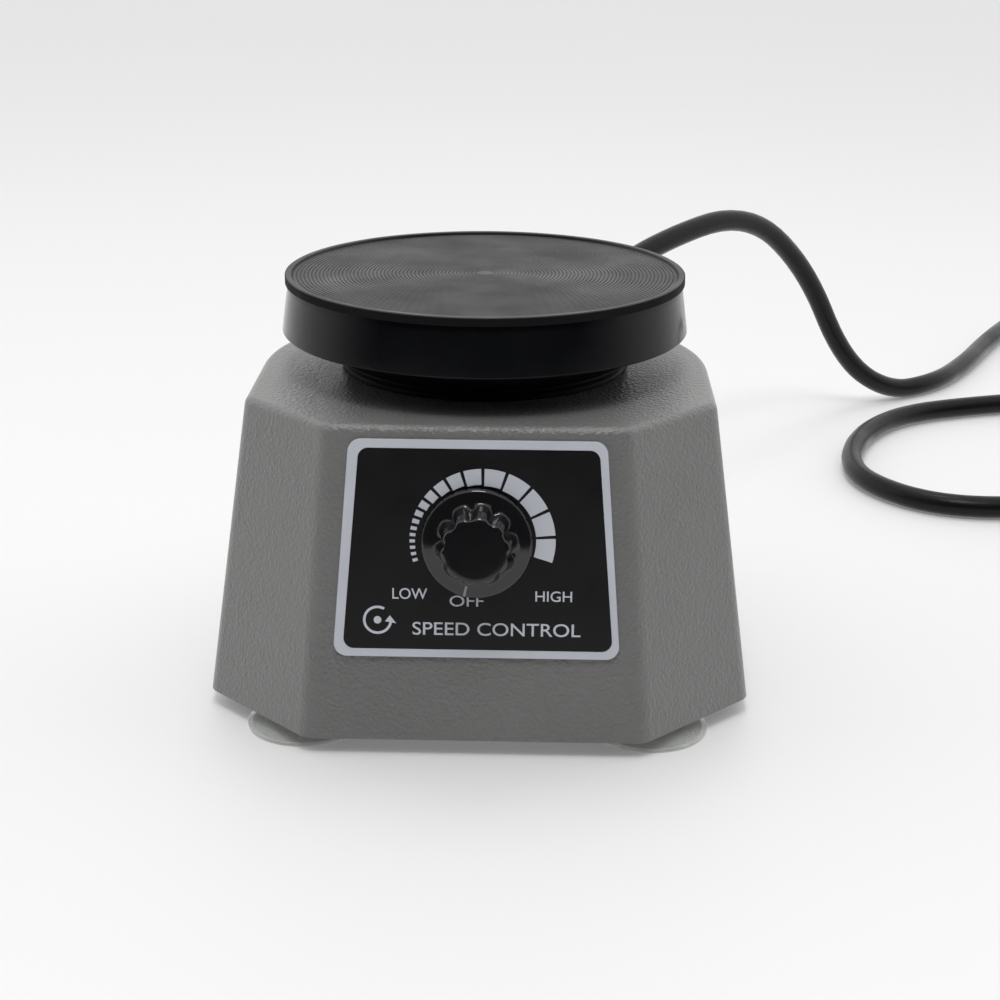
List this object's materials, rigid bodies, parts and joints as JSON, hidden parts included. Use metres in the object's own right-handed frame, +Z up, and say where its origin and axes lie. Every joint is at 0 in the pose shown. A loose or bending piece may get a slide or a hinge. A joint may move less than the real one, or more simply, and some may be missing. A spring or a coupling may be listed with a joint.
{
  "type": "vortex mixer",
  "caption": "Bench-top vortex mixer: faceted painted housing on suction feet, a round ringed-rubber platform that orbits on an eccentric drive, a front speed knob and a mains lead.",
  "frame": {"origin": "on the bench, under the motor's axis, at the middle of the object's footprint without its lead", "axes": "+Z up along the motor's axis, -Y towards the control panel and knob, +X to the user's right"},
  "size_m": [0.3815, 0.4592, 0.1028],
  "materials": {
    "grey_paint": "matte orange-peel enamel",
    "dark_paint": "satin enamel",
    "mat_rubber": "matte moulded rubber with fine rings",
    "platform_plastic": "glossy moulded plastic",
    "boot_rubber": "satin moulded rubber",
    "knob_plastic": "glossy moulded plastic",
    "white_mark": "white inlay",
    "printed_label": "printed metal label, satin",
    "clear_cup": "clear flexible vinyl",
    "steel": "bright steel",
    "screw_steel": "zinc-plated steel",
    "bearing_steel": "polished bearing steel",
    "hub_steel": "turned steel",
    "cast_alloy": "die-cast alloy",
    "copper": "enamelled copper wire",
    "black_plastic": "moulded plastic",
    "board_green": "glass-fibre board",
    "light_plastic": "moulded plastic",
    "film_yellow": "moulded case",
    "grommet_rubber": "soft rubber",
    "shaft_metal": "turned metal",
    "wire_sheath": "thin insulated wire",
    "cord_sheath": "satin vinyl sheath",
    "sleeve_rubber": "moulded rubber",
    "plug_vinyl": "moulded vinyl",
    "blade_brass": "plated brass"
  },
  "bodies": {
    "root": {"housing": "grey_paint", "base_plate": "dark_paint", "dust_boot": "boot_rubber", "control_panel": "printed_label", "suction_feet": "clear_cup", "foot_studs": "steel", "foot_nuts": "steel", "motor_bracket": "steel", "motor_can": "steel", "stator_core": "steel", "pot_bush": "steel", "pot_nut": "steel", "boot_clamp_ring": "steel", "base_screws": "screw_steel", "motor_screws": "screw_steel", "bell_screws": "screw_steel", "boot_screws": "screw_steel", "board_screws": "screw_steel", "motor_bearings": "bearing_steel", "motor_lower_bell": "cast_alloy", "motor_upper_bell": "cast_alloy", "heatsink": "cast_alloy", "stator_windings": "copper", "choke_coil": "copper", "cord_gland": "black_plastic", "gland_dome": "black_plastic", "gland_locknut": "black_plastic", "triac": "black_plastic", "circuit_board": "board_green", "terminal_block": "light_plastic", "board_standoffs": "light_plastic", "pot_body": "light_plastic", "film_capacitor": "film_yellow", "motor_grommets": "grommet_rubber", "internal_wires": "wire_sheath", "mains_cord": "cord_sheath", "cord_coil": "cord_sheath", "cord_tail": "cord_sheath", "strain_relief": "sleeve_rubber", "plug_body": "plug_vinyl", "plug_pins": "blade_brass"},
    "rotor": {"motor_shaft": "steel", "rotor_core": "steel", "cooling_fan": "black_plastic", "eccentric_hub": "hub_steel", "hub_set_screw": "screw_steel", "counterweight": "hub_steel", "weight_set_screw": "screw_steel", "bearing_inner_race": "bearing_steel", "bearing_balls": "bearing_steel", "pin_circlip": "screw_steel"},
    "platform": {"bearing_outer_race": "bearing_steel", "bearing_housing": "cast_alloy", "platform_shell": "platform_plastic", "rubber_mat": "mat_rubber", "platform_screws": "screw_steel"},
    "knob": {"speed_knob": "knob_plastic", "knob_pointer": "white_mark", "pot_shaft": "shaft_metal"}
  },
  "joints": [
    {"name": "motor_spin", "type": "hinge", "parent": "root", "child": "rotor", "pos_m": [0, 0, 0.045], "axis": [0, 0, 1], "continuous": true},
    {"name": "platform_orbit", "type": "hinge", "parent": "rotor", "child": "platform", "pos_m": [0, -0.002, 0.0867], "axis": [0, 0, 1], "continuous": true},
    {"name": "knob_turn", "type": "hinge", "parent": "root", "child": "knob", "pos_m": [0.0003, -0.06014, 0.05185], "axis": [0, 0.9907, -0.136], "range_deg": [0, 270]}
  ],
  "couplings": [
    {"joint": "platform_orbit", "follows": "motor_spin", "ratio": -1}
  ]
}
